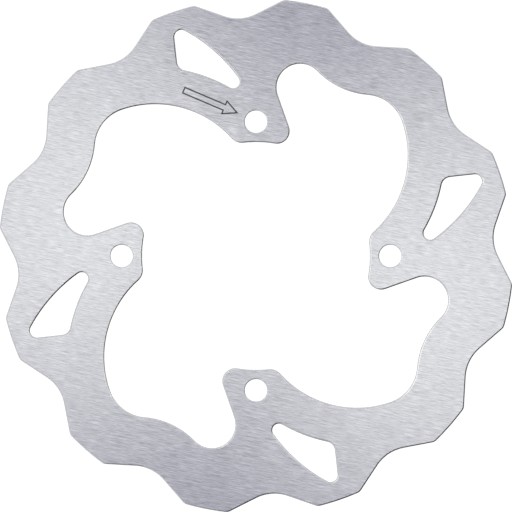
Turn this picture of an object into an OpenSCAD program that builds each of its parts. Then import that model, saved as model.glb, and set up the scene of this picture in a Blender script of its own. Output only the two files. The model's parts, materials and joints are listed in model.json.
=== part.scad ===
// Motorcycle brake disc: one flat steel plate with a waved rim, an open middle, mounting
// tabs that reach in to the hub, and a lightening window beside each tab. It lies flat with
// the wheel axis along +Z, its hub-side face at z = 0 and its first bolt hole on +X.
// Lengths are in millimetres and angles in degrees.

/* [Plate] */
// Diameter over the wave crests
outer_d = 240; // [232:1:260]
// Thickness of the plate when new
plate_t = 5; // [3.5:0.5:8]

/* [Mounting] */
// Number of mounting tabs, with one bolt hole each
tabs = 4; // [3:1:5]
// Diameter of the circle that the bolt holes lie on
bolt_circle_d = 125; // [115:0.5:135]
// Diameter of a bolt hole
bolt_hole_d = 10.5; // [8:0.5:12]
// Chamfer at both ends of a bolt hole
hole_chamfer = 0.2; // [0.1:0.1:0.8]
// Distance from the bolt circle in to the lips of the tabs, which close on the hub's pilot
lip_depth = 9.5; // [8:0.5:12]

/* [Waved rim] */
// Number of waves from one tab to the next
waves_per_tab = 3; // [2:1:4]
// Angle from a bolt hole to the first valley
valley_angle = 3.8; // [0:0.1:8]
// Depth of a valley below the crests
valley_depth = 9.1; // [6:0.1:11]
// Width of a valley between the centres of its two crest corners
valley_w = 42.8; // [41:0.1:44]
// Radius at the bottom of a valley
valley_r = 18.8; // [16:0.1:20]
// Radius of the corners at both ends of a crest
crest_corner_r = 4; // [2:0.1:5]

/* [Tabs] */
// Distance from the bolt hole's radius to the centre of the tab's heel corner
heel_offset = 6.6; // [6:0.1:9]
// Radius of the heel corner
heel_r = 6.5; // [4:0.1:7]
// Distance from the bolt hole's radius to the centre of the tab's toe corner
toe_offset = 9.7; // [8:0.1:12]
// Radius of the toe corner
toe_r = 6; // [4:0.1:7]

/* [Middle opening] */
// Place of the opening's wide shoulder between two bolt holes, as a share of the way
shoulder_place = 0.536; // [0.5:0.002:0.57]
// Width of the rim band at the shoulder, from the crests inwards
shoulder_band = 25.7; // [22:0.1:28]
// Radius of the shoulder
shoulder_r = 18.5; // [15:0.1:20]
// Radius of the flank between a heel and the shoulder
flank_r = 47.8; // [44:0.1:60]
// Angle from the narrow gullet of the opening to the next bolt hole
gullet_angle = 14.7; // [13:0.1:16]
// Width of the rim band at the gullet, from the crests inwards
gullet_band = 27.9; // [25:0.1:30]
// Radius of the gullet
gullet_r = 11; // [9:0.1:12]
// Radius of the ridge between the shoulder and the gullet
ridge_r = 36.5; // [30:0.1:50]

/* [Windows] */
// Width of metal between a crest and the window's outer corner
window_rim_gap = 9; // [7:0.1:12]
// Radius of the outer corner
window_outer_r = 3.3; // [2:0.1:4]
// Distance from the crests to the window's side corner
window_side_gap = 19; // [17:0.1:22]
// Angle by which the side corner's centre leads the outer corner's
window_side_lead = 0.7; // [0:0.1:1.5]
// Radius of the side corner
window_side_r = 4.6; // [3:0.1:6]
// Distance from the bolt circle to the window's inner corner
window_bolt_gap = 16.2; // [14:0.1:20]
// Angle by which the inner corner's centre trails the outer corner's
window_inner_trail = 11.3; // [10:0.1:13]
// Radius of the inner corner
window_inner_r = 3.1; // [2:0.1:4]
// Radius of the long side that bulges towards the rim
window_bulge_r = 75; // [50:1:120]
// Radius of the side that curves in towards the window
window_hollow_r = 70; // [50:1:120]

/* [Hidden] */
// Largest turn and largest length of one straight step along an arc
step_turn = 5;
step_length = 2.5;
// Points of an outline that lie closer together than this are one point
point_gap = 0.02;
// Facets of a bolt hole, and how far a cut runs past a face
hole_facets = 96;
cut_over = 1;

rim_r = outer_d / 2;
bolt_circle_r = bolt_circle_d / 2;
pilot_r = bolt_circle_r - lip_depth;
tab_pitch = 360 / tabs;
waves = waves_per_tab * tabs;
wave_pitch = 360 / waves;
// Angles from a valley to its crest corners, and from a crest to its own corners
corner_circle_r = rim_r - crest_corner_r;
valley_half_angle = asin(valley_w / 2 / corner_circle_r);
crest_half_angle = wave_pitch / 2 - valley_half_angle;
// A window hangs below the first crest after its bolt hole
window_angle = valley_angle + wave_pitch / 2;

// A point given by its distance and angle from the disc's centre
function polar(r, angle) = r * [cos(angle), sin(angle)];

// Centre of an arc that has to lie da from point a and db from point b.
// It is on the left of the line from a to b when side is 1, and on its right when side is -1.
function arc_centre(a, da, b, db, side) =
    let (
        span = b - a,
        d = norm(span),
        along = (d * d + da * da - db * db) / (2 * d),
        across = side * sqrt(max(0, da * da - along * along))
    )
    a + (along * span + across * [-span[1], span[0]]) / d;

// An outline is the path of a belt round a list of pulleys, each [centre, radius].
// The belt turns left round a positive radius and right round a negative one.
// Heading of the belt's straight run from pulley a to pulley b
function run_heading(a, b) =
    let (
        span = b[0] - a[0],
        slip = (b[1] - a[1]) / norm(span)
    )
    atan2(span[1], span[0]) - asin(max(-1, min(1, slip)));

// Angle that the belt turns on a pulley, where a turn just under a full one is rounding error
function belt_turn(radius, heading_in, heading_out) =
    let (
        swing = sign(radius) * (heading_out - heading_in),
        turn = swing - 360 * floor(swing / 360)
    )
    turn > 350 ? 0 : turn;

// Points of the belt on one pulley
function pulley_points(pulley, heading_in, heading_out) =
    let (
        radius = pulley[1],
        turn = belt_turn(radius, heading_in, heading_out),
        arc_length = abs(radius) * turn * PI / 180,
        steps = max(1, ceil(turn / step_turn), ceil(arc_length / step_length))
    )
    [
        for (i = [0 : steps])
            let (heading = heading_in + sign(radius) * turn * i / steps)
            pulley[0] + radius * [sin(heading), -cos(heading)]
    ];

// Points of the whole closed belt
function belt_points(pulleys) =
    let (
        count = len(pulleys),
        headings = [for (i = [0 : count - 1]) run_heading(pulleys[i], pulleys[(i + 1) % count])],
        points = [
            for (i = [0 : count - 1])
                each pulley_points(pulleys[i], headings[(i + count - 1) % count], headings[i])
        ],
        last = len(points) - 1
    )
    [for (i = [0 : last]) if (norm(points[(i + 1) % len(points)] - points[i]) > point_gap) points[i]];

// One wave of the rim: a hollow valley, then a crest on the outer circle with two round corners
function wave_pulleys(valley) =
    let (crest = valley + wave_pitch / 2)
    [
        [polar(rim_r - valley_depth + valley_r, valley), -valley_r],
        [polar(corner_circle_r, crest - crest_half_angle), crest_corner_r],
        [[0, 0], rim_r],
        [polar(corner_circle_r, crest + crest_half_angle), crest_corner_r]
    ];

// One lobe of the middle opening, from the lip of one tab to the lip of the next:
// heel, flank, shoulder, ridge, gullet and the next tab's toe
function lobe_pulleys(tab_angle) =
    let (
        next_tab = tab_angle + tab_pitch,
        heel_circle_r = pilot_r + heel_r,
        toe_circle_r = pilot_r + toe_r,
        heel = polar(heel_circle_r, tab_angle + asin(heel_offset / heel_circle_r)),
        shoulder = polar(rim_r - shoulder_band - shoulder_r, tab_angle + shoulder_place * tab_pitch),
        gullet = polar(rim_r - gullet_band - gullet_r, next_tab - gullet_angle),
        toe = polar(toe_circle_r, next_tab - asin(toe_offset / toe_circle_r)),
        flank = arc_centre(heel, flank_r + heel_r, shoulder, flank_r - shoulder_r, 1),
        ridge = arc_centre(shoulder, ridge_r + shoulder_r, gullet, ridge_r + gullet_r, -1)
    )
    [
        [[0, 0], pilot_r],
        [heel, -heel_r],
        [flank, flank_r],
        [shoulder, shoulder_r],
        [ridge, -ridge_r],
        [gullet, gullet_r],
        [toe, -toe_r]
    ];

// The window beside a tab: inner corner, bulging side, outer corner, side corner, hollow side
function window_pulleys(tab_angle) =
    let (
        angle = tab_angle + window_angle,
        inner = polar(bolt_circle_r + window_bolt_gap + window_inner_r, angle - window_inner_trail),
        outer = polar(rim_r - window_rim_gap - window_outer_r, angle),
        side = polar(rim_r - window_side_gap - window_side_r, angle + window_side_lead),
        bulge = arc_centre(inner, window_bulge_r - window_inner_r, outer, window_bulge_r - window_outer_r, 1),
        hollow = arc_centre(side, window_hollow_r + window_side_r, inner, window_hollow_r + window_inner_r, -1)
    )
    [
        [inner, window_inner_r],
        [bulge, window_bulge_r],
        [outer, window_outer_r],
        [side, window_side_r],
        [hollow, -window_hollow_r]
    ];

module rim_outline() {
    polygon(belt_points([for (i = [0 : waves - 1]) each wave_pulleys(valley_angle + i * wave_pitch)]));
}

module opening_outline() {
    polygon(belt_points([for (i = [0 : tabs - 1]) each lobe_pulleys(i * tab_pitch)]));
}

module window_outline(tab_angle) {
    polygon(belt_points(window_pulleys(tab_angle)));
}

// One bolt hole with a chamfer at each face
module bolt_hole() {
    wide_d = bolt_hole_d + 2 * (hole_chamfer + cut_over);
    chamfer_h = hole_chamfer + cut_over;
    translate([0, 0, -cut_over])
        cylinder(h = plate_t + 2 * cut_over, d = bolt_hole_d, $fn = hole_facets);
    translate([0, 0, -cut_over])
        cylinder(h = chamfer_h, d1 = wide_d, d2 = bolt_hole_d, $fn = hole_facets);
    translate([0, 0, plate_t - hole_chamfer])
        cylinder(h = chamfer_h, d1 = bolt_hole_d, d2 = wide_d, $fn = hole_facets);
}

module brake_disc() {
    color("silver")
    difference() {
        linear_extrude(height = plate_t)
            difference() {
                rim_outline();
                opening_outline();
                for (i = [0 : tabs - 1])
                    window_outline(i * tab_pitch);
            }
        for (i = [0 : tabs - 1])
            rotate([0, 0, i * tab_pitch])
                translate([bolt_circle_r, 0, 0])
                    bolt_hole();
    }
}

brake_disc();
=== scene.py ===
"""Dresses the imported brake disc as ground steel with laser-cut walls, in a plain studio.

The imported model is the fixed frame: metres, the disc flat on z = 0 with the wheel axis along
+Z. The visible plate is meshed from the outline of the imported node, so it keeps every size
of it, and adds what a cutter and a grinder leave: broken edges, fine bolt-hole walls and an
etched mark.
"""

import json
import logging
import math
from collections.abc import Iterator
from dataclasses import dataclass, field
from enum import Enum, IntEnum

import bmesh
import bpy
import numpy as np
from mathutils import Matrix, Vector
from mathutils.geometry import delaunay_2d_cdt


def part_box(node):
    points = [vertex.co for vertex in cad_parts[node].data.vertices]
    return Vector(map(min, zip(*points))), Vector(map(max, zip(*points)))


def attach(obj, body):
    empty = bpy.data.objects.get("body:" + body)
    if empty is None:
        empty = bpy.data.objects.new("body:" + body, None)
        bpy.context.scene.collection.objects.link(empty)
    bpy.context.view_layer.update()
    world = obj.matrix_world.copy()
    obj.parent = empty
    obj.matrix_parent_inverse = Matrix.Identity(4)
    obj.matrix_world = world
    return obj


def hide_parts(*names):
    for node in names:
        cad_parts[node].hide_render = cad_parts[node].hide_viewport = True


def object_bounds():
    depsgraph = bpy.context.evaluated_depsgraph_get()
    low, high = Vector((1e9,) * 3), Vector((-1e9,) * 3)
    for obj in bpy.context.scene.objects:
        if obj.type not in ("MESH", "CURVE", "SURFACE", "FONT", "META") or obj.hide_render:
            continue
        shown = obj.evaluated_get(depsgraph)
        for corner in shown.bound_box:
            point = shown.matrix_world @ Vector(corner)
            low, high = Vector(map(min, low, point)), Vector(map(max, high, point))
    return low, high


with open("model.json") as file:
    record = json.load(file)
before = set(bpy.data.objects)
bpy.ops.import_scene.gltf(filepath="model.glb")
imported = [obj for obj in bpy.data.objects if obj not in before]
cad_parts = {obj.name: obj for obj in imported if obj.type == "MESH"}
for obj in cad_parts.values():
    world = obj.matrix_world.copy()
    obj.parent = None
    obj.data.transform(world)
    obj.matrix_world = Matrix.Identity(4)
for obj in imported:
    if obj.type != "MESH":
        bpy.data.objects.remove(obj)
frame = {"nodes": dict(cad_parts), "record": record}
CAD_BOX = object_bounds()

LOG = logging.getLogger("brake_disc")
MM = 0.001
DISC_NODE = "brake_disc"
GRAIN_MAP = "grain"

Colour = tuple[float, float, float]
Point = tuple[float, float]


class Layer(IntEnum):
    """The material slots of the plate, in order."""

    GROUND = 0
    CUT = 1
    BROKEN = 2
    ETCHED = 3


class Side(Enum):
    """The two ground faces of the plate."""

    OUTBOARD = "outboard"
    HUB = "hub"


class ShaderGraph:
    """Adds nodes to the shader tree of one material or world and joins them."""

    def __init__(self, owner: bpy.types.Material | bpy.types.World) -> None:
        """Empties the owner's tree.

        Args:
            owner: The material or world whose tree is filled.
        """
        owner.use_nodes = True
        self.tree = owner.node_tree
        self.tree.nodes.clear()

    def node(self, kind: str, inputs: dict[str, object] | None = None, **settings: object) -> bpy.types.Node:
        """Adds one node.

        Args:
            kind: The node's type name, without the ShaderNode prefix.
            inputs: Values or output sockets for the inputs, by input name.
            **settings: Properties of the node itself.

        Returns:
            The new node.
        """
        added = self.tree.nodes.new("ShaderNode" + kind)
        for name, value in settings.items():
            setattr(added, name, value)
        for name, value in (inputs or {}).items():
            if isinstance(value, bpy.types.NodeSocket):
                self.tree.links.new(value, added.inputs[name])
            else:
                added.inputs[name].default_value = value
        return added

    def math(self, operation: str, first: object, second: object) -> bpy.types.NodeSocket:
        """Adds a math node.

        Args:
            operation: The operation's name, such as MULTIPLY.
            first: A number or an output socket.
            second: A number or an output socket.

        Returns:
            The result's socket.
        """
        added = self.tree.nodes.new("ShaderNodeMath")
        added.operation = operation
        for socket, value in zip(added.inputs, (first, second)):
            if isinstance(value, bpy.types.NodeSocket):
                self.tree.links.new(value, socket)
            else:
                socket.default_value = value
        return added.outputs[0]

    def remap(self, value: bpy.types.NodeSocket, old: Point, new: Point) -> bpy.types.NodeSocket:
        """Maps one range of a value linearly onto another.

        Args:
            value: The socket that gives the value.
            old: The ends of the range it comes in.
            new: The ends of the range it leaves in.

        Returns:
            The mapped value's socket.
        """
        limits = {"Value": value, "From Min": old[0], "From Max": old[1], "To Min": new[0], "To Max": new[1]}
        return self.node("MapRange", limits).outputs["Result"]

    def blend(self, factor: object, first: object, second: object) -> bpy.types.NodeSocket:
        """Mixes two colours.

        Args:
            factor: How much of the second colour, as a number or socket.
            first: A colour or socket.
            second: A colour or socket.

        Returns:
            The mixed colour's socket.
        """
        added = self.tree.nodes.new("ShaderNodeMix")
        added.data_type = "RGBA"
        for index, value in ((0, factor), (6, first), (7, second)):
            if isinstance(value, bpy.types.NodeSocket):
                self.tree.links.new(value, added.inputs[index])
            elif index == 0:
                added.inputs[index].default_value = value
            else:
                added.inputs[index].default_value = (*value, 1.0)
        return added.outputs[2]

    def lines(self, across: float, along: float, detail: float = 2.0, seed: float = 0.0) -> bpy.types.NodeSocket:
        """Adds noise drawn out into fine parallel lines on the grain map.

        Args:
            across: Width of a line in metres.
            along: Length of a line in metres.
            detail: Number of finer octaves.
            seed: Shift that gives each set of lines its own pattern.

        Returns:
            The noise value's socket, centred on 0.5.
        """
        place = self.node("UVMap", uv_map=GRAIN_MAP).outputs["UV"]
        scaled = self.node(
            "Mapping",
            {"Vector": place, "Location": (seed, seed, 0.0), "Scale": (1 / across, 1 / along, 1.0)},
        )
        noise = {"Vector": scaled.outputs["Vector"], "Scale": 1.0, "Detail": detail, "Roughness": 0.65}
        return self.node("TexNoise", noise, noise_dimensions="2D").outputs["Fac"]

    def finish_surface(self, shader: bpy.types.NodeSocket) -> None:
        """Joins the final shader to the material's output."""
        self.node("OutputMaterial", {"Surface": shader})


@dataclass(frozen=True)
class GroundSteel:
    """Both faces of the plate: bright steel with the straight fine grain of a belt grinder."""

    name: str = "ground_steel"
    colour: Colour = (0.78, 0.78, 0.79)
    shade: Colour = (0.38, 0.38, 0.39)
    roughness: float = 0.43
    roughness_spread: float = 0.05
    anisotropy: float = 0.46
    fine_line: Point = (0.19 * MM, 4.0 * MM)
    broad_line: Point = (0.42 * MM, 12 * MM)
    groove_depth: float = 0.007 * MM

    def material(self) -> bpy.types.Material:
        """Builds the material.

        Returns:
            The new material.
        """
        made = bpy.data.materials.new(self.name)
        graph = ShaderGraph(made)
        fine = graph.lines(*self.fine_line, detail=4.0)
        broad = graph.lines(*self.broad_line, detail=2.0, seed=7.3)
        both = graph.math("ADD", graph.math("MULTIPLY", fine, 0.6), graph.math("MULTIPLY", broad, 0.4))
        tone = graph.remap(both, (0.35, 0.65), (0.0, 1.0))
        spread = self.roughness_spread
        rough = graph.remap(broad, (0.3, 0.7), (self.roughness - spread, self.roughness + spread))
        bump = graph.node("Bump", {"Height": fine, "Distance": self.groove_depth, "Strength": 1.0})
        shader = graph.node(
            "BsdfPrincipled",
            {
                "Base Color": graph.blend(tone, self.shade, self.colour),
                "Metallic": 1.0,
                "Roughness": rough,
                "Anisotropic": self.anisotropy,
                "Tangent": graph.node("Tangent", direction_type="UV_MAP", uv_map=GRAIN_MAP).outputs["Tangent"],
                "Normal": bump.outputs["Normal"],
            },
        )
        graph.finish_surface(shader.outputs["BSDF"])
        return made


@dataclass(frozen=True)
class LaserCutSteel:
    """The cut walls: dark scale over upright striations."""

    name: str = "laser_cut_steel"
    colour: Colour = (0.13, 0.125, 0.12)
    shade: Colour = (0.06, 0.058, 0.056)
    metallic: float = 0.7
    roughness: float = 0.5
    striation: Point = (0.22 * MM, 4.5 * MM)
    drag_line: Point = (0.6 * MM, 2.2 * MM)
    groove_depth: float = 0.02 * MM

    def material(self) -> bpy.types.Material:
        """Builds the material.

        Returns:
            The new material.
        """
        made = bpy.data.materials.new(self.name)
        graph = ShaderGraph(made)
        fine = graph.lines(*self.striation, detail=2.0)
        drag = graph.lines(*self.drag_line, detail=2.0, seed=3.1)
        both = graph.math("ADD", graph.math("MULTIPLY", fine, 0.6), graph.math("MULTIPLY", drag, 0.4))
        tone = graph.remap(both, (0.35, 0.65), (0.0, 1.0))
        bump = graph.node("Bump", {"Height": both, "Distance": self.groove_depth, "Strength": 1.0})
        shader = graph.node(
            "BsdfPrincipled",
            {
                "Base Color": graph.blend(tone, self.shade, self.colour),
                "Metallic": self.metallic,
                "Roughness": self.roughness,
                "Normal": bump.outputs["Normal"],
            },
        )
        graph.finish_surface(shader.outputs["BSDF"])
        return made


@dataclass(frozen=True)
class BrokenEdge:
    """The thin round left where every edge was broken: worn bright by the deburring brush."""

    name: str = "broken_edge"
    colour: Colour = (0.66, 0.66, 0.67)
    shade: Colour = (0.55, 0.55, 0.56)
    roughness: float = 0.22
    nick: Point = (0.8 * MM, 1.5 * MM)

    def material(self) -> bpy.types.Material:
        """Builds the material.

        Returns:
            The new material.
        """
        made = bpy.data.materials.new(self.name)
        graph = ShaderGraph(made)
        wear = graph.remap(graph.lines(*self.nick, detail=3.0, seed=1.9), (0.35, 0.65), (0.0, 1.0))
        shader = graph.node(
            "BsdfPrincipled",
            {
                "Base Color": graph.blend(wear, self.shade, self.colour),
                "Metallic": 1.0,
                "Roughness": self.roughness,
            },
        )
        graph.finish_surface(shader.outputs["BSDF"])
        return made


@dataclass(frozen=True)
class LaserEtch:
    """The burnt line of an etched mark."""

    name: str = "laser_etch"
    colour: Colour = (0.07, 0.07, 0.075)
    shade: Colour = (0.03, 0.03, 0.033)
    roughness: float = 0.6
    speckle: Point = (0.25 * MM, 0.25 * MM)

    def material(self) -> bpy.types.Material:
        """Builds the material.

        Returns:
            The new material.
        """
        made = bpy.data.materials.new(self.name)
        graph = ShaderGraph(made)
        tone = graph.remap(graph.lines(*self.speckle, detail=1.0, seed=5.0), (0.35, 0.65), (0.0, 1.0))
        shader = graph.node(
            "BsdfPrincipled",
            {
                "Base Color": graph.blend(tone, self.shade, self.colour),
                "Metallic": 0.3,
                "Roughness": self.roughness,
            },
        )
        graph.finish_surface(shader.outputs["BSDF"])
        return made


@dataclass
class PlateOutline:
    """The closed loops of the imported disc's outboard face, each with the metal on its left."""

    node: str = DISC_NODE
    weld: float = 0.001 * MM
    loops: list[np.ndarray] = field(default_factory=list)

    def __post_init__(self) -> None:
        """Reads the loops of the node, with its bolt holes at their size below the chamfer."""
        low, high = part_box(self.node)
        self.bottom, self.top = low.z, high.z
        pattern = next(m for m in frame["record"]["mounts"] if m["kind"] == "bolt_pattern")
        self.hole_r = pattern["dims"]["hole_r_mm"] * MM
        for loop in self._node_loops():
            if self.is_bolt_hole(loop):
                spokes = loop - loop.mean(axis=0)
                loop = loop.mean(axis=0) + spokes * (self.hole_r / np.linalg.norm(spokes, axis=1))[:, None]
            self.loops.append(loop)

    def is_bolt_hole(self, loop: np.ndarray) -> bool:
        """Tells a bolt hole from the plate's other loops, which are all far larger."""
        return np.ptp(loop, axis=0).max() < 3 * self.hole_r

    def _node_loops(self) -> Iterator[np.ndarray]:
        """Walks the border of the outboard face.

        Yields:
            The points of one closed loop, in metres.
        """
        mesh = bmesh.new()
        mesh.from_mesh(frame["nodes"][self.node].data)
        bmesh.ops.remove_doubles(mesh, verts=mesh.verts, dist=self.weld)
        faces = {f for f in mesh.faces if min(v.co.z for v in f.verts) > self.top - self.weld}
        following = {}
        for face in faces:
            for corner in face.loops:
                if not any(other in faces for other in corner.edge.link_faces if other is not face):
                    following[corner.vert] = corner.link_loop_next.vert
        while following:
            start, vertex = following.popitem()
            points = [start.co.xy]
            while vertex is not start:
                points.append(vertex.co.xy)
                vertex = following.pop(vertex)
            yield np.array(points, float)
        mesh.free()


def inset(loop: np.ndarray, distance: float) -> np.ndarray:
    """Moves a closed loop into the metal on its left.

    Args:
        loop: The loop's points.
        distance: How far each side moves.

    Returns:
        The moved points, one for each old one.
    """
    ahead = np.roll(loop, -1, axis=0) - loop
    ahead /= np.linalg.norm(ahead, axis=1)[:, None]
    behind = np.roll(ahead, 1, axis=0)
    left = np.column_stack([-ahead[:, 1], ahead[:, 0]]) + np.column_stack([-behind[:, 1], behind[:, 0]])
    reach = 1 + (ahead * behind).sum(axis=1)
    return loop + distance * left / reach[:, None]


def inside(points: np.ndarray, loop: np.ndarray) -> np.ndarray:
    """Tests points against one closed loop.

    Args:
        points: The points to test.
        loop: The loop's points.

    Returns:
        True for each point that the loop goes round.
    """
    hits = np.zeros(len(points), int)
    for start, end in zip(loop, np.roll(loop, -1, axis=0)):
        crosses = (start[1] > points[:, 1]) != (end[1] > points[:, 1])
        if crosses.any():
            slope = (end[0] - start[0]) / (end[1] - start[1])
            hits += crosses & (points[:, 0] < start[0] + slope * (points[:, 1] - start[1]))
    return hits % 2 == 1


@dataclass(frozen=True)
class EdgeSection:
    """The section of a broken edge: a worn bevel, as three arcs that run into each other.

    Each arc is its radius and its tilt away from the face at its lower end.
    """

    arcs: tuple[Point, ...] = (
        (0.10 * MM, math.radians(23)),
        (1.60 * MM, math.radians(47)),
        (0.15 * MM, math.radians(90)),
    )
    steps: int = 4

    def points(self) -> list[Point]:
        """Walks the section from the face down to the wall.

        Returns:
            How far inside the wall and how far below the face each point lies.
        """
        across, down, tilt = 0.0, 0.0, 0.0
        walked = [(across, down)]
        for radius, end in self.arcs:
            for i in range(1, self.steps + 1):
                turned = tilt + (end - tilt) * i / self.steps
                run = across + radius * (math.sin(turned) - math.sin(tilt))
                walked.append((run, down + radius * (math.cos(tilt) - math.cos(turned))))
            across, down = walked[-1]
            tilt = end
        return [(across - run, drop) for run, drop in walked]


@dataclass(frozen=True)
class TurningMark:
    """The outlined arrow etched on the outboard face, along the web between a window and a tab."""

    middle: Point = (-21.0 * MM, 71.8 * MM)
    heading: float = math.radians(-23)
    length: float = 28 * MM
    head_length: float = 7.5 * MM
    head_width: float = 7.4 * MM
    shaft_width: float = 3.4 * MM
    stroke: float = 0.65 * MM

    def outlines(self) -> tuple[np.ndarray, np.ndarray]:
        """Draws both borders of the etched line.

        Returns:
            The outer and the inner loop, each with the arrow on its left.
        """
        tail, tip = -self.length / 2, self.length / 2
        neck = tip - self.head_length
        half, barb = self.shaft_width / 2, self.head_width / 2
        flat = ((tail, -half), (neck, -half), (neck, -barb), (tip, 0.0), (neck, barb), (neck, half), (tail, half))
        cos, sin = math.cos(self.heading), math.sin(self.heading)
        outer = np.array([(x * cos - y * sin, x * sin + y * cos) for x, y in flat]) + self.middle
        return outer, inset(outer, self.stroke)


@dataclass
class DiscPlate:
    """The whole disc: two ground faces, a cut wall round every loop and broken edges between."""

    outline: PlateOutline
    cut_edge: EdgeSection = EdgeSection()
    hole_edge: EdgeSection = EdgeSection(
        (
            (0.06 * MM, math.radians(23)),
            (0.90 * MM, math.radians(47)),
            (0.10 * MM, math.radians(90)),
        )
    )
    mark: TurningMark = TurningMark()
    grain_angle: float = math.radians(-11.4)
    face_grid: float = 4 * MM
    name: str = "disc_plate"

    def build(self) -> bpy.types.Object:
        """Meshes, dresses and places the plate.

        Returns:
            The finished piece.
        """
        self.mesh = bmesh.new()
        self.map = self.mesh.loops.layers.uv.new(GRAIN_MAP)
        for loop in self.outline.loops:
            self._wall(loop)
        for side in Side:
            self._face(side)
        bmesh.ops.remove_doubles(self.mesh, verts=self.mesh.verts, dist=0.1 * self.outline.weld)
        self._sharpen()
        data = bpy.data.meshes.new(self.name)
        self.mesh.to_mesh(data)
        self.mesh.free()
        for finish in (GroundSteel(), LaserCutSteel(), BrokenEdge(), LaserEtch()):
            data.materials.append(finish.material())
        plate = bpy.data.objects.new(self.name, data)
        bpy.context.scene.collection.objects.link(plate)
        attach(plate, "root")
        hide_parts(DISC_NODE)
        LOG.info("%s: %d faces round %d loops", self.name, len(data.polygons), len(self.outline.loops))
        return plate

    def _section(self, loop: np.ndarray) -> list[Point]:
        """Picks the broken edge of one loop.

        Args:
            loop: The loop's points.

        Returns:
            The points of its section, from the face down to the wall.
        """
        return (self.hole_edge if self.outline.is_bolt_hole(loop) else self.cut_edge).points()

    def _profile(self, loop: np.ndarray) -> list[tuple[float, float, Layer]]:
        """Describes the section through the wall along one loop.

        Args:
            loop: The loop's points.

        Returns:
            Inset and height of each ring from the outboard face down, with the layer below it.
        """
        section = self._section(loop)
        upper = [(inward, self.outline.top - drop, Layer.BROKEN) for inward, drop in section]
        upper[-1] = (*upper[-1][:2], Layer.CUT)
        lower = [(inward, self.outline.bottom + drop, Layer.BROKEN) for inward, drop in reversed(section)]
        return upper + lower

    def _wall(self, loop: np.ndarray) -> None:
        """Adds the wall and both broken edges along one loop.

        Args:
            loop: The loop's points, with the metal on their left.
        """
        profile = self._profile(loop)
        rings = []
        for inward, height, _ in profile:
            rings.append([self.mesh.verts.new((x, y, height)) for x, y in inset(loop, inward)])
        steps = np.linalg.norm(np.roll(loop, -1, axis=0) - loop, axis=1)
        run = np.concatenate([[0.0], np.cumsum(steps)])
        for level in range(len(profile) - 1):
            heights = (profile[level][1], profile[level + 1][1])
            for i in range(len(loop)):
                after = (i + 1) % len(loop)
                corners = (rings[level][i], rings[level + 1][i], rings[level + 1][after], rings[level][after])
                face = self.mesh.faces.new(corners)
                face.material_index = profile[level][2]
                face.smooth = True
                places = ((run[i], heights[0]), (run[i], heights[1]), (run[i + 1], heights[1]), (run[i + 1], heights[0]))
                for corner, place in zip(face.loops, places):
                    corner[self.map].uv = place

    def _face(self, side: Side) -> None:
        """Adds one ground face, as triangles between the loops, the mark and an even grid.

        Args:
            side: Which face.
        """
        rings = [inset(loop, self._section(loop)[0][0]) for loop in self.outline.loops]
        drawn = list(self.mark.outlines()) if side is Side.OUTBOARD else []
        points = [Vector(p) for ring in rings + drawn for p in ring]
        borders = []
        start = 0
        for ring in rings + drawn:
            borders += [(start + i, start + (i + 1) % len(ring)) for i in range(len(ring))]
            start += len(ring)
        points += [Vector(p) for p in self._grid(rings, drawn)]
        cut = delaunay_2d_cdt(points, borders, [], 0, 0.01 * self.outline.weld)
        places = np.array([p[:] for p in cut[0]])
        triangles = np.array(cut[2])
        middles = places[triangles].mean(axis=1)
        etched = np.zeros(len(middles), bool)
        if drawn:
            etched = inside(middles, drawn[0]) & ~inside(middles, drawn[1])
        kept = self._in_metal(middles, rings)
        height = self.outline.top if side is Side.OUTBOARD else self.outline.bottom
        vertices = [self.mesh.verts.new((x, y, height)) for x, y in places]
        cos, sin = math.cos(self.grain_angle), math.sin(self.grain_angle)
        for triangle, burnt in zip(triangles[kept], etched[kept]):
            order = triangle if side is Side.OUTBOARD else triangle[::-1]
            face = self.mesh.faces.new([vertices[i] for i in order])
            face.material_index = Layer.ETCHED if burnt else Layer.GROUND
            for corner in face.loops:
                x, y = corner.vert.co.xy
                corner[self.map].uv = (y * cos - x * sin, x * cos + y * sin)
        loose = [v for v in vertices if not v.link_faces]
        bmesh.ops.delete(self.mesh, geom=loose, context="VERTS")

    def _in_metal(self, points: np.ndarray, rings: list[np.ndarray]) -> np.ndarray:
        """Tests which points lie on the face.

        Args:
            points: The points to test.
            rings: The face's border loops.

        Returns:
            True for each point that an odd number of loops goes round.
        """
        count = sum(inside(points, ring).astype(int) for ring in rings)
        return count % 2 == 1

    def _grid(self, rings: list[np.ndarray], drawn: list[np.ndarray]) -> np.ndarray:
        """Spreads points evenly over the face, clear of its borders and of the mark.

        Args:
            rings: The face's border loops.
            drawn: The loops of the mark.

        Returns:
            The points.
        """
        reach = max(np.abs(ring).max() for ring in rings)
        count = int(reach / self.face_grid) + 1
        rows = []
        for j in range(-count, count + 1):
            shift = 0.5 * (j % 2)
            rows += [((i + shift) * self.face_grid, j * self.face_grid * math.sqrt(0.75)) for i in range(-count, count)]
        points = np.array(rows)
        points = points[self._in_metal(points, rings)]
        border = np.concatenate(rings + drawn)
        near = [np.linalg.norm(border - p, axis=1).min() for p in points]
        return points[np.array(near) > 0.6 * self.face_grid]

    def _sharpen(self) -> None:
        """Keeps the ground faces flat where they meet the broken edges."""
        for edge in self.mesh.edges:
            flat = [face.material_index in (Layer.GROUND, Layer.ETCHED) for face in edge.link_faces]
            edge.smooth = all(flat) or not any(flat)


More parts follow.
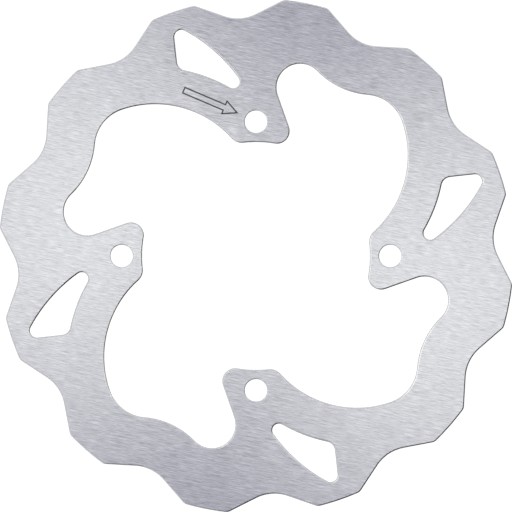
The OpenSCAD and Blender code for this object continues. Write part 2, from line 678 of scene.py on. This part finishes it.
@dataclass(frozen=True)
class FloorFinish:
    """The pale floor: white to the eye and to reflections, with a part of its true shading."""

    name: str = "studio_floor"
    colour: Colour = (0.8, 0.8, 0.8)
    shading_share: float = 0.15
    glow: float = 1.19

    def material(self) -> bpy.types.Material:
        """Builds the material.

        Returns:
            The new material.
        """
        made = bpy.data.materials.new(self.name)
        graph = ShaderGraph(made)
        diffuse = graph.node("BsdfDiffuse", {"Color": (*self.colour, 1.0)}).outputs["BSDF"]
        white = graph.node("Emission", {"Color": (1.0, 1.0, 1.0, 1.0), "Strength": self.glow}).outputs["Emission"]
        path = graph.node("LightPath").outputs
        seen = graph.math("MAXIMUM", path["Is Camera Ray"], path["Is Glossy Ray"])
        seen = graph.math("MAXIMUM", seen, path["Is Transmission Ray"])
        share = graph.math("MULTIPLY", seen, 1 - self.shading_share)
        mix = graph.node("MixShader", {"Fac": share})
        graph.tree.links.new(diffuse, mix.inputs[1])
        graph.tree.links.new(white, mix.inputs[2])
        graph.finish_surface(mix.outputs["Shader"])
        return made


@dataclass(frozen=True)
class Softbox:
    """A flat lamp over the line of the grain, aimed at the middle of the disc."""

    name: str
    offset: float
    size: Point
    radiance: float
    height: float = 0.25
    colour: Colour = (0.98, 1.0, 0.885)

    def hang(self, grain_angle: float) -> None:
        """Hangs the lamp.

        Args:
            grain_angle: Direction of the grain, from +X towards +Y.
        """
        data = bpy.data.lights.new(self.name, "AREA")
        data.shape = "RECTANGLE"
        data.size, data.size_y = self.size
        data.energy = self.radiance * math.pi * data.size * data.size_y
        data.color = self.colour
        lamp = bpy.data.objects.new(self.name, data)
        along = Vector((math.cos(grain_angle), math.sin(grain_angle), 0.0))
        lamp.location = self.offset * along + Vector((0.0, 0.0, self.height))
        back = lamp.location.normalized()
        across = back.cross(along).normalized()
        lamp.rotation_mode = "QUATERNION"
        lamp.rotation_quaternion = Matrix((across.cross(back), across, back)).transposed().to_quaternion()
        lamp.visible_camera = False
        bpy.context.scene.collection.objects.link(lamp)


@dataclass
class Studio:
    """A pale floor, softboxes along the grain, white walls with one side open and a far camera."""

    grain_angle: float
    frame_width: float = 238.2 * MM
    lens: float = 1000.0
    floor_size: float = 6.0
    floor_gap: float = 0.1 * MM
    lamps: tuple[Softbox, ...] = (
        Softbox("left_box", -0.12, (0.20, 0.25), 1.46),
        Softbox("right_box", 0.12, (0.20, 0.25), 1.46),
        Softbox("top_strip", 0.0, (0.20, 0.08), 1.0),
    )
    open_heading: float = math.radians(-41)
    wall_colour: Colour = (0.86, 0.86, 0.90)
    lit_colour: Colour = (0.96, 0.96, 0.98)
    open_colour: Colour = (0.01, 0.01, 0.01)
    ceiling_colour: Colour = (0.035, 0.02, 0.22)

    def build(self) -> None:
        """Sets up the camera, the floor, the lamps, the world and the view."""
        self._camera()
        self._floor()
        for lamp in self.lamps:
            lamp.hang(self.grain_angle)
        self._world()
        bpy.context.scene.view_settings.view_transform = "Standard"
        LOG.info("studio: camera, floor, %d lamps and the room", len(self.lamps))

    def _camera(self) -> None:
        """Hangs the camera far above the outboard face, square to it."""
        data = bpy.data.cameras.new("camera")
        data.lens = self.lens
        distance = self.frame_width / data.sensor_width * self.lens
        data.clip_end = 2 * distance
        camera = bpy.data.objects.new("camera", data)
        camera.location = (0.0, 0.0, CAD_BOX[1].z + distance)
        bpy.context.scene.collection.objects.link(camera)
        bpy.context.scene.camera = camera

    def _floor(self) -> None:
        """Lays the floor just under the disc."""
        data = bpy.data.meshes.new("floor")
        half = self.floor_size / 2
        level = CAD_BOX[0].z - self.floor_gap
        corners = [(-half, -half, level), (half, -half, level), (half, half, level), (-half, half, level)]
        data.from_pydata(corners, [], [(0, 1, 2, 3)])
        data.materials.append(FloorFinish().material())
        floor = bpy.data.objects.new("floor", data)
        bpy.context.scene.collection.objects.link(floor)

    def _world(self) -> None:
        """Puts white walls round the floor, one open to a dark room, and a dimmer ceiling.

        The wall that faces the open side is the brightest.
        """
        world = bpy.data.worlds.new("room")
        bpy.context.scene.world = world
        graph = ShaderGraph(world)
        heading = graph.node("TexCoord").outputs["Generated"]
        rise = graph.node("SeparateXYZ", {"Vector": heading}).outputs["Z"]
        ceiling = graph.remap(rise, (0.65, 0.95), (0.0, 1.0))
        opening = (math.cos(self.open_heading), math.sin(self.open_heading), 0.0)
        facing = graph.node("VectorMath", {0: heading, 1: opening}, operation="DOT_PRODUCT").outputs["Value"]
        walls = graph.blend(graph.remap(facing, (-0.75, 0.2), (0.0, 1.0)), self.lit_colour, self.wall_colour)
        opened = graph.remap(facing, (0.2, 0.75), (0.0, 1.0))
        colour = graph.blend(opened, graph.blend(ceiling, walls, self.ceiling_colour), self.open_colour)
        background = graph.node("Background", {"Color": colour, "Strength": 1.0})
        graph.node("OutputWorld", {"Surface": background.outputs["Background"]})


def main() -> None:
    """Builds the disc and its studio and reports each."""
    logging.basicConfig(level=logging.INFO, format="%(name)s %(message)s")
    disc = DiscPlate(PlateOutline())
    disc.build()
    Studio(grain_angle=disc.grain_angle).build()


if __name__ == "__main__":
    main()
